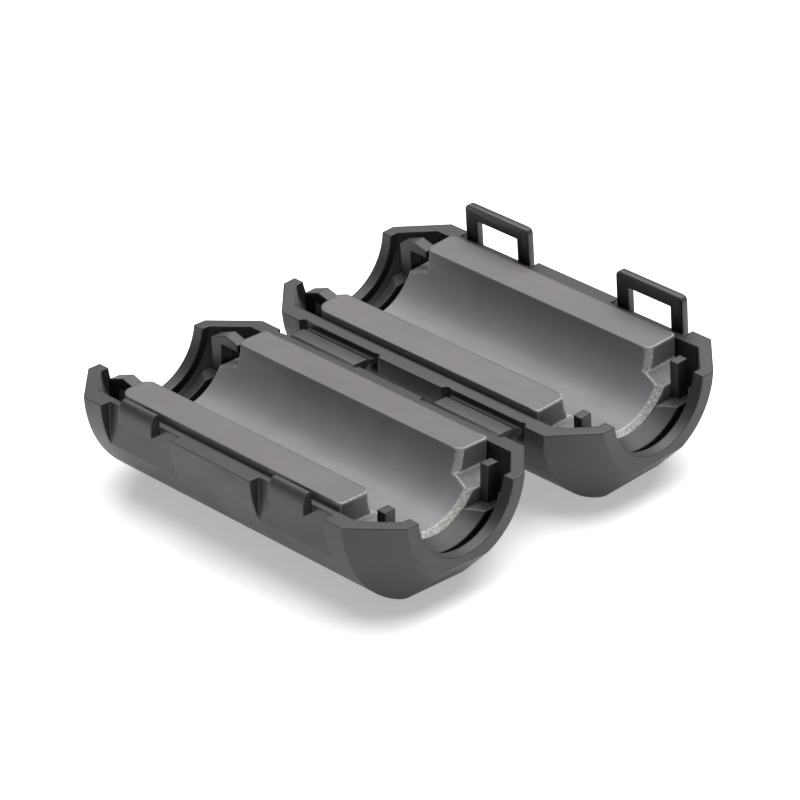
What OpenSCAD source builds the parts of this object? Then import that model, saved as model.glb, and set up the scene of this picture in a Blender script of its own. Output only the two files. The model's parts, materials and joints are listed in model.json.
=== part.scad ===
// Clip-on ferrite bead, lying open.
// Two half shells are joined by a folding hinge. Each holds half of a ferrite core.
// X runs across the halves, Y runs along the cable, Z is up from the surface below.

/* [Core] */
// Radius of the cable bore
bore_r = 5; // [4:0.1:6]
// Thickness of the ferrite around the bore
core_wall = 3.4; // [2.6:0.1:4.4]
// Length of the core
core_len = 31; // [24:0.5:40]
// How far the upper edge stops short of each core end
step_len = 1.9; // [1.2:0.1:2.4]
// Depth of that end step below the core's ground face, at its inner edge
step_depth = 2.1; // [1.7:0.1:2.6]
// How much the floor of the end step falls towards the core's end
step_fall = 0.7; // [0.2:0.1:1]
// Chamfer on the core's end edges
core_chamfer = 0.5; // [0.2:0.05:0.6]
// Rounding of the core's upper corners seen from above
corner_r = 0.4; // [0.3:0.1:0.6]
// Rounding of the one upper corner that is blunter than the others
blunt_r = 1.3; // [0.6:0.1:1.6]

/* [Case] */
// Wall thickness of the half shell
wall = 1.7; // [1.5:0.05:2.2]
// Clearance between the core and the shell
core_gap = 0.3; // [0.2:0.05:0.4]
// Distance from the core's end to the case's end
end_room = 4; // [3.8:0.1:5]
// How much the ends taper in from the round body
taper = 3.7; // [3:0.1:3.9]
// Wall thickness of the tapered ends
taper_wall = 1.15; // [0.9:0.05:1.3]
// Clearance around the cable where it leaves the case
exit_gap = 0.4; // [0.3:0.05:0.6]
// How far the shell's rim lies below the core's ground face
rim_drop = 0.55; // [0.4:0.05:0.7]
// How deep the flat foot is cut into the round body
foot_cut = 0.65; // [0.4:0.05:0.8]

/* [Core holders] */
// Width of the fingers and of the stops
finger_w = 1.2; // [0.8:0.1:1.5]
// Thickness of the post of each finger, at the far end
post_t = 1.3; // [0.8:0.05:1.5]
// Thickness of each stop, at the near end
stop_t = 0.85; // [0.6:0.05:1.2]
// Depth of the stops' top below the ground face
stop_top = 0.35; // [0.2:0.05:0.6]
// Clearance between a finger and the core
finger_gap = 0.3; // [0.2:0.05:0.4]
// Depth of the nose's underside below the ground face
nose_under = 1.1; // [0.9:0.1:1.5]
// Length of the saddle that carries the cable behind each core end
saddle_len = 1.55; // [1.2:0.05:1.9]
// Depth of the saddle's flat top below the ground face
saddle_top = 3.9; // [3:0.1:5]
// Width of the ribs that the core lies on
rib_w = 1.2; // [0.8:0.1:2]

/* [Hinge] */
// Distance between the two fold lines
fold_span = 2.3; // [2:0.1:3]
// Thickness of the film at each fold line
film_t = 0.35; // [0.3:0.05:0.45]
// Gap that stays between the two cores when the case is shut
shut_gap = 0.1; // [0.05:0.01:0.15]
// How far each half stays folded up from flat when the case lies open, in degrees
rest_fold = 2.5; // [0:0.1:4]
// Length of each strap along the cable
strap_w = 8; // [5:0.5:9]
// Distance from the case's middle to each strap's middle
strap_y = 8.8; // [7:0.1:9.5]

/* [Latches] */
// Distance from the case's middle to each latch's middle
latch_y = 9.25; // [8.5:0.05:10]
// Width of the catch
catch_w = 4.1; // [3:0.1:5]
// Height of the catch above the core's ground face
catch_top = 0.75; // [0.5:0.05:0.9]
// Depth of the catch's underside below the ground face
catch_under = 1.25; // [1.1:0.05:1.6]
// Width of the latch loop's legs
leg_w = 1.4; // [1:0.1:1.6]
// Thickness of the latch loop
loop_t = 0.8; // [0.6:0.05:1]
// Height of the bar that closes the loop
bar_h = 1.3; // [1:0.05:1.8]
// Depth of the loop's root below the core's ground face
root_drop = 3.2; // [2.8:0.1:3.8]
// Clearance between the loop's bar and the catch
hook_gap = 0.1; // [0.1:0.05:0.25]
// Clearance on each side of the catch in the loop
hook_side = 0.45; // [0.2:0.05:0.6]
// Clearance between the loop and the case wall
loop_gap = 0.3; // [0.2:0.05:0.4]
// Room on each side of the loop in its pocket
pocket_side = 0.5; // [0.3:0.05:0.7]
// Thickness of the case wall behind the loops
pocket_wall = 0.65; // [0.55:0.05:0.9]

/* [Hidden] */
$fn = 96;
// a little more, so that cuts pass right through
eps = 0.05;
// larger than the whole case
big = 60;

core_r = bore_r + core_wall;
inner_r = core_r + core_gap;
case_r = inner_r + wall;
end_r = case_r - taper;
core_half = core_len / 2;
top_half = core_half - step_len;
case_half = core_half + end_room;
taper_y = case_half - taper;
// the tapered wall runs parallel to the outside, taper_wall thick across the slope
cone_shift = taper_wall * sqrt(2);
end_wall = 1.1;
exit_r = bore_r + exit_gap;

foot_z = case_r - foot_cut;
foot_half = sqrt(case_r * case_r - foot_z * foot_z);
// the foot's flat goes on up the taper, a little shallower
end_foot_cut = 0.5;
end_foot_z = end_r - end_foot_cut;
foot_slope = foot_z - end_foot_z;

fold_depth = (fold_span - shut_gap) / 2;
// the fold line lies this far inside the round body
fold_inset = 0.2;
fold_x = case_r - fold_inset;
axis_x = fold_x + fold_span / 2;
// each half lies on the inner edge of its foot, which sets the height of the fold lines
fold_z = (foot_z - fold_depth) * cos(rest_fold) - (fold_x - foot_half) * sin(rest_fold);
parting_z = fold_z + fold_depth;
// room above each fold line, and round holes where it ends
fold_set = 0.35;
relief_r = 0.45;
// the strap's thick middle starts this far from the fold line
film_len = 0.2;
strap_up = 0.25;
strap_down = 0.35;

pocket_x = inner_r + pocket_wall;
loop_in = pocket_x + loop_gap;
loop_out = loop_in + loop_t;
window_w = catch_w + 2 * hook_side;
loop_w = window_w + 2 * leg_w;
pocket_w = loop_w + 2 * pocket_side;
window_top = catch_under + shut_gap + hook_gap;
window_low = 1.2;
loop_top = window_top + bar_h;
loop_round = 0.5;
// height of the loop's root, and of its upright front
root_h = 1.8;
root_front = 0.4;
// depth to which roots and catches run into the wall behind them
root_in = 0.3;
// the catch's ridge stands this far out from the pocket's flat, and its inner side a little less
ridge_out = 0.35;
tip_gap = 0.12;
tip_drop = 0.15;
// depth of the widest line, down to which the catch's ramp is rounded
catch_lip = 0.5;
ramp_step = 10;

post_y = core_half + finger_gap;
post_low = saddle_top + 1;
finger_x = bore_r + 0.25;
// the nose: clearance to the core's upper part, its ridge, and how its top falls away
nose_tip_gap = 0.15;
nose_y = top_half + nose_tip_gap;
ridge_y = post_y - 0.5;
ridge_z = -0.05;
nose_tip_z = ridge_z - 0.4;
post_top_z = ridge_z - 0.7;

saddle_y = post_y + eps;
// the saddle opens from the bore's size towards the case's end
saddle_r = bore_r + 0.1;
saddle_flare = 0.8;
// how deep the saddle is rooted in the shell's wall
saddle_root = 0.5;

rib_gap = 0.05;
rib_end = 0.6;
rib_angle = 45;

// ---- placing ----

// folds a half up about its fold line, from flat to how it lies
module folded_up() {
    translate([fold_x, 0, -fold_depth])
        rotate([0, rest_fold, 0])
            translate([-fold_x, 0, fold_depth])
                children();
}

// the half with the catches lies at -X, with its catches outwards
module catch_side() {
    translate([-axis_x, 0, parting_z])
        folded_up()
            children();
}

// the half with the loops is laid out as its mirror image at +X
module loop_side() {
    translate([axis_x, 0, parting_z])
        mirror([1, 0, 0])
            folded_up()
                children();
}

// both ends of the case
module both_ends() {
    for (side = [0, 1])
        mirror([0, side, 0])
            children();
}

// both sides of the bore
module both_sides() {
    for (side = [0, 1])
        mirror([side, 0, 0])
            children();
}

// ---- shapes along the cable ----

// round bar along Y, from y0 to y1, with its own radius at each end
module bar_y(y0, y1, r0, r1) {
    translate([0, y0, 0])
        rotate([-90, 0, 0])
            cylinder(h = y1 - y0, r1 = r0, r2 = r1);
}

// outline in the YZ plane, as thick as width and centred on X
module slab_x(width) {
    rotate([90, 0, 90])
        translate([0, 0, -width / 2])
            linear_extrude(height = width)
                children();
}

// outline in the XZ plane, as thick as width and centred on Y
module slab_y(width) {
    translate([0, width / 2, 0])
        rotate([90, 0, 0])
            linear_extrude(height = width)
                children();
}

// box given by its lower and upper corners
module block(low, high) {
    translate(low)
        cube(high - low);
}

// ---- ferrite core ----

// cone that opens the bore's mouth at y
module bore_mouth(y) {
    bar_y(y - core_chamfer, y + eps, bore_r, bore_r + core_chamfer + eps);
}

// what the end step takes off above its sloping floor
module step_cut() {
    floor_end = step_depth + step_fall;
    slab_x(big)
        polygon([
            [top_half, -step_depth],
            [core_half, -floor_end],
            [core_half + 1, -floor_end],
            [core_half + 1, 1],
            [top_half, 1]
        ]);
}

// rounds one upper outer corner, seen from above
module corner_cut(round_r) {
    translate([core_r - round_r, top_half - round_r, -step_depth])
        difference() {
            cube([round_r + 1, round_r + 1, step_depth + 1]);
            translate([0, 0, -eps])
                cylinder(h = step_depth + 2, r = round_r);
        }
}

module half_core() {
    difference() {
        union() {
            bar_y(-core_half + core_chamfer, core_half - core_chamfer, core_r, core_r);
            both_ends()
                bar_y(core_half - core_chamfer, core_half, core_r, core_r - core_chamfer);
        }
        bar_y(-core_half - 1, core_half + 1, bore_r, bore_r);
        block([-big, -big, 0], [big, big, big]);
        both_ends() {
            bore_mouth(core_half);
            intersection() {
                bore_mouth(top_half);
                block([-big, 0, -step_depth], [big, big, 1]);
            }
            step_cut();
            both_sides()
                corner_cut(corner_r);
        }
        mirror([1, 0, 0])
            corner_cut(blunt_r);
    }
}

// ---- half shell ----

// outline from the side: the flat foot and the sloping flats at its ends
module foot_outline() {
    polygon([
        [-case_half, eps],
        [-case_half, -end_foot_z],
        [-case_half + foot_slope, -foot_z],
        [case_half - foot_slope, -foot_z],
        [case_half, -end_foot_z],
        [case_half, eps]
    ]);
}

module shell_outside() {
    intersection() {
        union() {
            bar_y(-taper_y, taper_y, case_r, case_r);
            both_ends()
                bar_y(taper_y, case_half, case_r, end_r);
        }
        slab_x(big)
            foot_outline();
    }
}

module shell_inside() {
    inner_taper_y = taper_y + case_r - cone_shift - inner_r;
    inner_end_y = case_half - end_wall;
    inner_end_r = inner_r - (inner_end_y - inner_taper_y);
    bar_y(-inner_taper_y, inner_taper_y, inner_r, inner_r);
    both_ends() {
        bar_y(inner_taper_y - eps, inner_end_y, inner_r + eps, inner_end_r);
        bar_y(inner_end_y - eps, case_half + 1, exit_r, exit_r);
    }
}

// vertical flat behind a latch
module pocket_cut() {
    block([-case_r - 1, latch_y - pocket_w / 2, -big], [-pocket_x, latch_y + pocket_w / 2, 1]);
}

// clears the hinge side: the fold planes, the room above each fold and its relief holes
module hinge_cut() {
    block([fold_x, -big, -big], [big, big, 1]);
    both_ends() {
        block([fold_x - fold_set, strap_y - strap_w / 2 - relief_r, -fold_depth],
            [fold_x + 1, strap_y + strap_w / 2 + relief_r, 1]);
        for (edge = [-1, 1])
            translate([fold_x, strap_y + edge * (strap_w / 2 + relief_r), -fold_depth - 1])
                cylinder(h = big, r = relief_r);
    }
}

// finger behind the core's end, with a sloping nose over the end step
module finger() {
    translate([finger_x + finger_w / 2, 0, 0])
        slab_x(finger_w)
            polygon([
                [post_y, -post_low],
                [post_y, -nose_under],
                [nose_y, -nose_under],
                [nose_y, nose_tip_z],
                [ridge_y, ridge_z],
                [post_y + post_t, post_top_z],
                [post_y + post_t, -post_low]
            ]);
}

// plain stop behind the core's other end
module core_stop() {
    block([finger_x, post_y, -post_low], [finger_x + finger_w, post_y + stop_t, -stop_top]);
}

// saddle that carries the cable between the core and the end wall
module cable_saddle() {
    saddle_end = saddle_y + saddle_len;
    root_r = inner_r + saddle_root;
    difference() {
        bar_y(saddle_y, saddle_end, root_r, root_r - saddle_len);
        bar_y(saddle_y - eps, saddle_end + eps, saddle_r, saddle_r + saddle_flare);
        block([-big, 0, -saddle_top], [big, big, big]);
    }
}

// ribs that the core lies on
module core_ribs() {
    intersection() {
        difference() {
            bar_y(-core_half + rib_end, core_half - rib_end, inner_r + eps, inner_r + eps);
            bar_y(-core_half, core_half, core_r + rib_gap, core_r + rib_gap);
        }
        for (angle = [-rib_angle, 0, rib_angle])
            rotate([0, angle, 0])
                block([-rib_w / 2, -core_half, -case_r], [rib_w / 2, core_half, 0]);
    }
}

module half_shell() {
    difference() {
        shell_outside();
        shell_inside();
        block([-big, -big, -rim_drop], [big, big, big]);
        both_ends()
            pocket_cut();
        hinge_cut();
    }
    core_ribs();
    both_ends()
        cable_saddle();
    both_sides() {
        finger();
        mirror([0, 1, 0])
            core_stop();
    }
}

// ---- latches ----

// catch on the pocket's flat: rounded ramp above, ledge below
module catch_hook() {
    ridge_x = pocket_x + ridge_out;
    ramp_h = catch_top + catch_lip;
    ramp = [for (angle = [0:ramp_step:90])
        [-ridge_x - (loop_out - ridge_x) * sin(angle), ramp_h * cos(angle) - catch_lip]];
    translate([0, latch_y, 0])
        slab_y(catch_w)
            polygon(concat([
                [-pocket_x + root_in, -catch_under],
                [-pocket_x + root_in, -rim_drop - eps],
                [-pocket_x - tip_gap, -rim_drop],
                [-pocket_x - tip_gap, catch_top - tip_drop]
            ], ramp, [[-loop_out, -catch_under]]));
}

// block on the shell that carries the loop
module loop_root() {
    translate([0, latch_y, 0])
        slab_y(loop_w)
            polygon([
                [-pocket_x + root_in, -root_drop],
                [-loop_out, -root_drop],
                [-loop_out, -root_drop - root_front],
                [-pocket_x + root_in, -root_drop - root_h]
            ]);
}

// outline of the loop, seen from outside, with rounded upper corners
module loop_outline() {
    half = loop_w / 2;
    round_x = half - loop_round;
    translate([-half, -root_drop])
        square([loop_w, root_drop + loop_top - loop_round]);
    translate([-round_x, 0])
        square([2 * round_x, loop_top]);
    for (side = [-1, 1])
        translate([side * round_x, loop_top - loop_round])
            circle(r = loop_round);
}

// rectangular loop that springs over the catch
module latch_loop() {
    translate([-(loop_in + loop_out) / 2, latch_y, 0])
        slab_x(loop_t)
            difference() {
                loop_outline();
                translate([-window_w / 2, -window_low])
                    square([window_w, window_low + window_top]);
            }
}

// ---- hinge ----

// strap with a thin film at each fold line and a thicker middle
module strap_outline() {
    half = fold_span / 2;
    up_x = half - film_len - strap_up;
    down_x = half - film_len - strap_down;
    polygon([
        [-half, 0],
        [-half + film_len, 0],
        [-up_x, strap_up],
        [up_x, strap_up],
        [half - film_len, 0],
        [half, 0],
        [half, -film_t],
        [half - film_len, -film_t],
        [down_x, -film_t - strap_down],
        [-down_x, -film_t - strap_down],
        [-half + film_len, -film_t],
        [-half, -film_t]
    ]);
}

module hinge_strap() {
    translate([0, strap_y, fold_z])
        slab_y(strap_w)
            strap_outline();
}

// ---- nodes ----

module catch_shell() {
    color("dimgray")
        catch_side() {
            half_shell();
            both_ends()
                catch_hook();
        }
}

module loop_shell() {
    color("dimgray")
        loop_side() {
            half_shell();
            both_ends()
                loop_root();
        }
}

module hinge_strap_far() {
    color("dimgray")
        hinge_strap();
}

module hinge_strap_near() {
    color("dimgray")
        mirror([0, 1, 0])
            hinge_strap();
}

module latch_loop_far() {
    color("dimgray")
        loop_side()
            latch_loop();
}

module latch_loop_near() {
    color("dimgray")
        loop_side()
            mirror([0, 1, 0])
                latch_loop();
}

module core_catch_half() {
    color("silver")
        catch_side()
            half_core();
}

// the same core turned the same way round as its partner
module core_loop_half() {
    color("silver")
        loop_side()
            mirror([1, 0, 0])
                half_core();
}

catch_shell();
loop_shell();
hinge_strap_far();
hinge_strap_near();
latch_loop_far();
latch_loop_near();
core_catch_half();
core_loop_half();
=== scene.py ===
"""Looks for a clip-on ferrite bead that lies open: moulded charcoal case, two grey ferrite half cores."""
import json
import math

import bpy
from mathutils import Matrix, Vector


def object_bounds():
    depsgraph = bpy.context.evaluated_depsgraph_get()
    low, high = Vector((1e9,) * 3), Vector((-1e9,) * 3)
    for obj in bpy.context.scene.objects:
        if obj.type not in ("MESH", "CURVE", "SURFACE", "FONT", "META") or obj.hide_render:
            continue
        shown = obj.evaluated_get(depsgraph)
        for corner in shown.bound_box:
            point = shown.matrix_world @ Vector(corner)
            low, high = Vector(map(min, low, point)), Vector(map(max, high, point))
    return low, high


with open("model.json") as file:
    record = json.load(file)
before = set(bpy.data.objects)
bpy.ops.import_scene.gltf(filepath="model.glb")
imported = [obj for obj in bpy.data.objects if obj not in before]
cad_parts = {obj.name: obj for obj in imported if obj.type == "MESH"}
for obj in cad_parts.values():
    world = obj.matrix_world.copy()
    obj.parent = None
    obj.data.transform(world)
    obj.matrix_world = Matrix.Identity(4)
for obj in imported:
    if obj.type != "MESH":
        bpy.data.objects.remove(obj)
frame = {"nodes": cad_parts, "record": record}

MM = 0.001
CAD_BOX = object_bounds()

SHELLS = ("catch_shell", "loop_shell")
SMALL_PARTS = ("hinge_strap_far", "hinge_strap_near", "latch_loop_far", "latch_loop_near")
CORES = ("core_catch_half", "core_loop_half")

# places worked out from the frame: height of the bores' middle, and the end of the cores at -Y
BORE_HEIGHT = frame["record"]["mounts"][0]["pos_m"][2]
CORE_END = min(point.co.y for point in frame["nodes"][CORES[0]].data.vertices)

# ---- camera ----
VIEW_AZIMUTH = math.radians(-43.1)
VIEW_ELEVATION = math.radians(29.15)
VIEW_ROLL = math.radians(-1.85)
VIEW_DISTANCE = 0.410
# in millimetres, as cameras have them
SENSOR_WIDTH = 36.0
LENS = 220.6
# the camera aims at a point near the middle of the two bores
AIM = Vector((-3.98 * MM, -4.18 * MM, BORE_HEIGHT))

# ---- stage: sizes in metres, powers in watts ----
WHITE = (1, 1, 1, 1)
WORLD_STRENGTH = 0.12
KEY_LIGHT = {"place": (0.16, 0.08, 0.60), "size": 0.95, "power": 10.0}
FILL_LIGHT = {"place": (-0.45, -0.35, 0.30), "size": 0.3, "power": 0.15}
FLOOR_SIZE = 2.0
FLOOR_GAP = 0.02 * MM
FLOOR_COLOUR = (0.85, 0.85, 0.85, 1)
FLOOR_ROUGHNESS = 0.9
FLOOR_GLOW = 0.4

# ---- plastic, with linear colours ----
PLASTIC = (0.021, 0.021, 0.0215, 1)
PLASTIC_WORN = (0.029, 0.029, 0.030, 1)
# painted highlight: sharp edges are painted paler, broken up by the tone noise
PLASTIC_EDGE_HIGHLIGHT = (0.11, 0.11, 0.11, 1)
PLASTIC_ROUGHNESS = (0.40, 0.56)
# painted shade: narrow gaps in the case are painted darker, down to this depth
PLASTIC_CREVICE_SHADE = (0.004, 0.004, 0.0042, 1)
CREVICE_SHADE_DEPTH = 3 * MM
# radius over which the shaded edges look rounded
PLASTIC_ROUND = 0.22 * MM

# ---- ferrite, with linear colours ----
GROUND_FERRITE = (0.126, 0.119, 0.115, 1)
GROUND_FERRITE_DARK = (0.092, 0.087, 0.084, 1)
BORE_FERRITE = (0.180, 0.175, 0.187, 1)
BORE_FERRITE_DARK = (0.125, 0.122, 0.130, 1)
# painted shadow: the floors of the end steps are painted darker
STEP_SHADOW_FERRITE = (0.075, 0.073, 0.074, 1)
# pale bare grains where the ends are chipped, and a painted highlight on the end chamfers
FERRITE_CHIP_AND_HIGHLIGHT = (0.54, 0.525, 0.50, 1)
FERRITE_ROUGHNESS = (0.38, 0.55)
FERRITE_ROUND = 0.30 * MM
# the cores are chipped, and their chamfers carry a painted highlight, at the end at -Y, up to the first
# of these and fading out by the second
CHIP_HIGHLIGHT_FADE = CORE_END + 1.9 * MM
CHIP_HIGHLIGHT_END = CORE_END + 2.9 * MM
# the ground faces look up and lie above this height
GROUND_FROM = BORE_HEIGHT - 0.9 * MM
GROUND_FADE = 0.2 * MM
# how far the end chamfers and the floors of the end steps lean towards -Y
CHAMFER_LEAN = -0.71
STEP_LEAN = -0.345

# ---- relief and noise ----
RELIEF_STRENGTH = 0.3
RELIEF_DEPTH = 0.03 * MM
# scale of the noise that gives the ferrite its streaks, which run along Y
STREAK_STRETCH = (1, 0.04, 1)
# the values that most of a noise texture lies between
NOISE_LOW = 0.3
NOISE_HIGH = 0.7

# ---- meshes ----
WELD_REACH = 0.002 * MM
CREASE_ANGLE = math.radians(16)
FLAT_ANGLE = math.radians(0.5)
SMALL_EDGE = 0.12 * MM
SMALL_EDGE_ANGLE = math.radians(28)
SMALL_EDGE_STEPS = 2

# sockets of a colour mix, by number because its sockets for numbers and vectors share their names
MIX_FACTOR = 0
MIX_FIRST = 6
MIX_SECOND = 7
MIX_RESULT = 2


# ---- materials ----

class Surface:
    """A new material, with short ways to add its shader nodes and join them up."""

    def __init__(self, name):
        self.material = bpy.data.materials.new(name)
        self.material.use_nodes = True
        self.nodes = self.material.node_tree.nodes
        self.join = self.material.node_tree.links.new
        self.shader = self.nodes["Principled BSDF"]

    def add(self, kind, **values):
        """A node of that kind, with its inputs and properties set by name."""
        node = self.nodes.new(kind)
        for key, value in values.items():
            if key in node.inputs:
                node.inputs[key].default_value = value
            else:
                setattr(node, key, value)
        return node

    def noise(self, place, scale, detail):
        """Cloudy noise, from 0 to 1."""
        node = self.add("ShaderNodeTexNoise", Scale=scale, Detail=detail)
        self.join(place, node.inputs["Vector"])
        return node.outputs["Fac"]

    def remap(self, source, low, high, to_low=0, to_high=1):
        """The source, with low and high moved to two other numbers."""
        limits = {"From Min": low, "From Max": high, "To Min": to_low, "To Max": to_high}
        node = self.add("ShaderNodeMapRange", **limits)
        self.join(source, node.inputs["Value"])
        return node.outputs["Result"]

    def combine(self, operation, first, second):
        """Two sources, combined by that operation."""
        node = self.add("ShaderNodeMath", operation=operation)
        self.join(first, node.inputs[0])
        self.join(second, node.inputs[1])
        return node.outputs[0]

    def near(self, source, value, reach):
        """1 where the source lies within reach of the value, otherwise 0."""
        node = self.add("ShaderNodeMath", operation="COMPARE")
        node.inputs[1].default_value = value
        node.inputs[2].default_value = reach
        self.join(source, node.inputs[0])
        return node.outputs[0]

    def split(self, source):
        """The X, Y and Z outputs of a vector."""
        node = self.add("ShaderNodeSeparateXYZ")
        self.join(source, node.inputs[0])
        return node.outputs

    def blend(self, factor, first, second):
        """A mix of two colours, each a fixed colour or another node's output."""
        node = self.add("ShaderNodeMix", data_type="RGBA")
        self.join(factor, node.inputs[MIX_FACTOR])
        for side, colour in ((MIX_FIRST, first), (MIX_SECOND, second)):
            if isinstance(colour, tuple):
                node.inputs[side].default_value = colour
            else:
                self.join(colour, node.inputs[side])
        return node.outputs[MIX_RESULT]

    def edge_mask(self, radius, low, high):
        """1 near a sharp edge and 0 away from it, from how far a rounded normal leans away."""
        rounded = self.add("ShaderNodeBevel", samples=6, Radius=radius)
        shape = self.add("ShaderNodeNewGeometry")
        lean = self.add("ShaderNodeVectorMath", operation="DOT_PRODUCT")
        self.join(rounded.outputs["Normal"], lean.inputs[0])
        self.join(shape.outputs["Normal"], lean.inputs[1])
        return self.remap(lean.outputs["Value"], 1 - low, 1 - high)

    def complete(self, colour, sheen, roughness, height, radius):
        """Sets the colour, a roughness that follows the sheen noise, and fine relief on rounded edges."""
        self.join(colour, self.shader.inputs["Base Color"])
        rough = self.remap(sheen, NOISE_LOW, NOISE_HIGH, *roughness)
        self.join(rough, self.shader.inputs["Roughness"])
        rounded = self.add("ShaderNodeBevel", samples=8, Radius=radius)
        bump = self.add("ShaderNodeBump", Strength=RELIEF_STRENGTH, Distance=RELIEF_DEPTH)
        self.join(height, bump.inputs["Height"])
        self.join(rounded.outputs["Normal"], bump.inputs["Normal"])
        self.join(bump.outputs["Normal"], self.shader.inputs["Normal"])
        return self.material


def plastic_material():
    """Moulded charcoal plastic: fine grain, uneven sheen, a painted highlight that makes the edges paler,
    and painted shade that makes narrow gaps darker.
    """
    plastic = Surface("charcoal_plastic")
    place = plastic.add("ShaderNodeTexCoord").outputs["Object"]
    tone = plastic.noise(place, scale=190, detail=5)
    grain = plastic.noise(place, scale=5200, detail=3)
    body = plastic.blend(tone, PLASTIC, PLASTIC_WORN)
    # painted highlight: the edges are painted paler where the tone noise allows
    edges = plastic.edge_mask(radius=0.12 * MM, low=0.05, high=0.5)
    edge_highlight = plastic.combine("MULTIPLY", edges, tone)
    with_edge_highlight = plastic.blend(edge_highlight, body, PLASTIC_EDGE_HIGHLIGHT)
    # painted shade: ambient occlusion paints narrow gaps darker
    gaps = plastic.add("ShaderNodeAmbientOcclusion", samples=8, Distance=CREVICE_SHADE_DEPTH)
    open_part = plastic.remap(gaps.outputs["AO"], low=0.25, high=0.75)
    colour = plastic.blend(open_part, PLASTIC_CREVICE_SHADE, with_edge_highlight)
    return plastic.complete(colour, tone, PLASTIC_ROUGHNESS, grain, PLASTIC_ROUND)


def ferrite_faces(ferrite, place, position, facing):
    """Cooler pressed faces, warm ground ones on top, and a painted shadow on the floors of the end steps.
    """
    cloud = ferrite.noise(place.outputs["Object"], scale=240, detail=6)
    pressed = ferrite.blend(cloud, BORE_FERRITE_DARK, BORE_FERRITE)
    ground = ferrite.blend(cloud, GROUND_FERRITE_DARK, GROUND_FERRITE)
    facing_up = ferrite.remap(facing["Z"], low=0.97, high=0.99)
    high_up = ferrite.remap(position["Z"], GROUND_FROM, GROUND_FROM + GROUND_FADE)
    on_top = ferrite.combine("MULTIPLY", facing_up, high_up)
    body = ferrite.blend(on_top, pressed, ground)
    # painted shadow on the floors of the end steps
    step_shadow = ferrite.near(facing["Y"], STEP_LEAN, reach=0.05)
    return ferrite.blend(step_shadow, body, STEP_SHADOW_FERRITE)


def ferrite_chips_and_highlights(ferrite, place, position, facing):
    """1 where an edge near the end at -Y is chipped to bare grains or a chamfer there carries a painted
    highlight, otherwise 0.
    """
    flakes = ferrite.noise(place.outputs["Object"], scale=5200, detail=8)
    flaked = ferrite.remap(flakes, low=0.34, high=0.60, to_low=0.2)
    edges = ferrite.edge_mask(radius=0.45 * MM, low=0.02, high=0.10)
    # painted highlight: every end chamfer is painted pale, as if catching light
    chamfer_highlight = ferrite.near(facing["Y"], CHAMFER_LEAN, reach=0.12)
    bare_or_highlit = ferrite.combine("MAXIMUM", edges, chamfer_highlight)
    near_end = ferrite.remap(position["Y"], CHIP_HIGHLIGHT_END, CHIP_HIGHLIGHT_FADE)
    at_end = ferrite.combine("MULTIPLY", bare_or_highlit, near_end)
    return ferrite.combine("MULTIPLY", at_end, flaked)


def ferrite_material():
    """Sintered ferrite with fine pits, a sheen streaked along the bore, chipped pale edges and a painted
    highlight on the end chamfers.
    """
    ferrite = Surface("sintered_ferrite")
    place = ferrite.add("ShaderNodeTexCoord")
    position = ferrite.split(place.outputs["Object"])
    facing = ferrite.split(place.outputs["Normal"])
    body = ferrite_faces(ferrite, place, position, facing)
    chips_and_highlights = ferrite_chips_and_highlights(ferrite, place, position, facing)
    # pale chips and painted chamfer highlights over the body colour
    colour = ferrite.blend(chips_and_highlights, body, FERRITE_CHIP_AND_HIGHLIGHT)
    pits = ferrite.noise(place.outputs["Object"], scale=4200, detail=4)
    stretch = ferrite.add("ShaderNodeMapping", Scale=STREAK_STRETCH)
    ferrite.join(place.outputs["Object"], stretch.inputs["Vector"])
    streaks = ferrite.noise(stretch.outputs["Vector"], scale=2600, detail=3)
    return ferrite.complete(colour, streaks, FERRITE_ROUGHNESS, pits, FERRITE_ROUND)


# ---- carried-over CAD nodes ----

def welded(node):
    """The CAD node's object, with its doubled points welded by a modifier and its faces smooth."""
    piece = frame["nodes"][node]
    weld = piece.modifiers.new("weld", "WELD")
    weld.merge_threshold = WELD_REACH
    for face in piece.data.polygons:
        face.use_smooth = True
    return piece


def creased(node):
    """A piece with smooth curved faces and crisp edges."""
    piece = welded(node)
    split = piece.modifiers.new("split", "EDGE_SPLIT")
    split.split_angle = CREASE_ANGLE
    return piece


def softened(node):
    """A small piece with its sharp edges rounded."""
    piece = welded(node)
    flat = piece.modifiers.new("flat", "DECIMATE")
    flat.decimate_type = "DISSOLVE"
    flat.angle_limit = FLAT_ANGLE
    bevel = piece.modifiers.new("bevel", "BEVEL")
    bevel.width = SMALL_EDGE
    bevel.segments = SMALL_EDGE_STEPS
    bevel.limit_method = "ANGLE"
    bevel.angle_limit = SMALL_EDGE_ANGLE
    bevel.use_clamp_overlap = False
    bevel.harden_normals = True
    return piece


def paint(piece, material):
    piece.data.materials.clear()
    piece.data.materials.append(material)


# ---- stage ----

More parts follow.
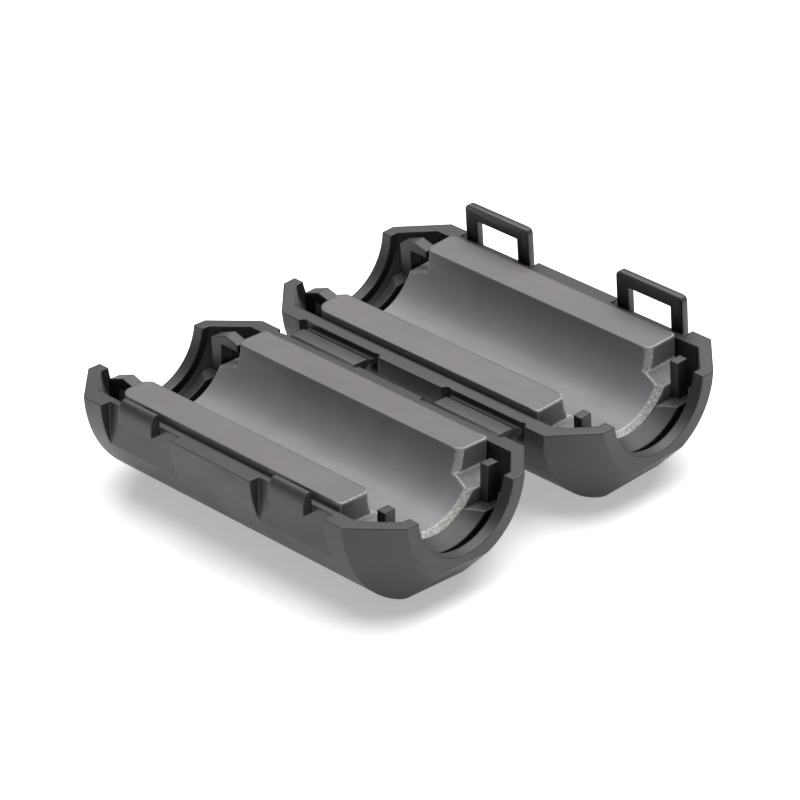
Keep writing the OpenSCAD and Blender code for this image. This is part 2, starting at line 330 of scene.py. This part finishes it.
def add_floor():
    bpy.ops.mesh.primitive_plane_add(size=FLOOR_SIZE, location=(0, 0, CAD_BOX[0][2] - FLOOR_GAP))
    plane = bpy.context.object
    plane.name = "floor"
    pale = Surface("pale_floor")
    pale.shader.inputs["Base Color"].default_value = FLOOR_COLOUR
    pale.shader.inputs["Roughness"].default_value = FLOOR_ROUGHNESS
    pale.shader.inputs["Emission Color"].default_value = WHITE
    pale.shader.inputs["Emission Strength"].default_value = FLOOR_GLOW
    plane.data.materials.append(pale.material)


def add_world():
    world = bpy.data.worlds.new("studio")
    bpy.context.scene.world = world
    world.use_nodes = True
    background = world.node_tree.nodes["Background"]
    background.inputs["Color"].default_value = WHITE
    background.inputs["Strength"].default_value = WORLD_STRENGTH


def add_light(name, place, size, power):
    """A round area light that points at the middle of the part."""
    data = bpy.data.lights.new(name, "AREA")
    data.shape = "DISK"
    data.size = size
    data.energy = power
    light = bpy.data.objects.new(name, data)
    bpy.context.scene.collection.objects.link(light)
    light.location = place
    aim = Vector((0, 0, BORE_HEIGHT)) - Vector(place)
    light.rotation_euler = aim.to_track_quat("-Z", "Y").to_euler()


def add_camera():
    data = bpy.data.cameras.new("camera")
    data.lens = LENS
    data.sensor_width = SENSOR_WIDTH
    data.clip_start = 0.01
    data.clip_end = 20
    view = bpy.data.objects.new("camera", data)
    bpy.context.scene.collection.objects.link(view)
    towards = Vector((
        math.sin(VIEW_AZIMUTH) * math.cos(VIEW_ELEVATION),
        -math.cos(VIEW_AZIMUTH) * math.cos(VIEW_ELEVATION),
        math.sin(VIEW_ELEVATION),
    ))
    view.location = AIM + towards * VIEW_DISTANCE
    view.rotation_euler = (-towards).to_track_quat("-Z", "Y").to_euler()
    view.rotation_euler.rotate_axis("Z", VIEW_ROLL)
    bpy.context.scene.camera = view


bpy.context.scene.view_settings.view_transform = "Standard"
add_camera()
add_world()
add_light("key", **KEY_LIGHT)
add_light("fill", **FILL_LIGHT)
add_floor()
plastic = plastic_material()
ferrite = ferrite_material()
for name in SHELLS:
    paint(creased(name), plastic)
for name in SMALL_PARTS:
    paint(softened(name), plastic)
for name in CORES:
    paint(creased(name), ferrite)
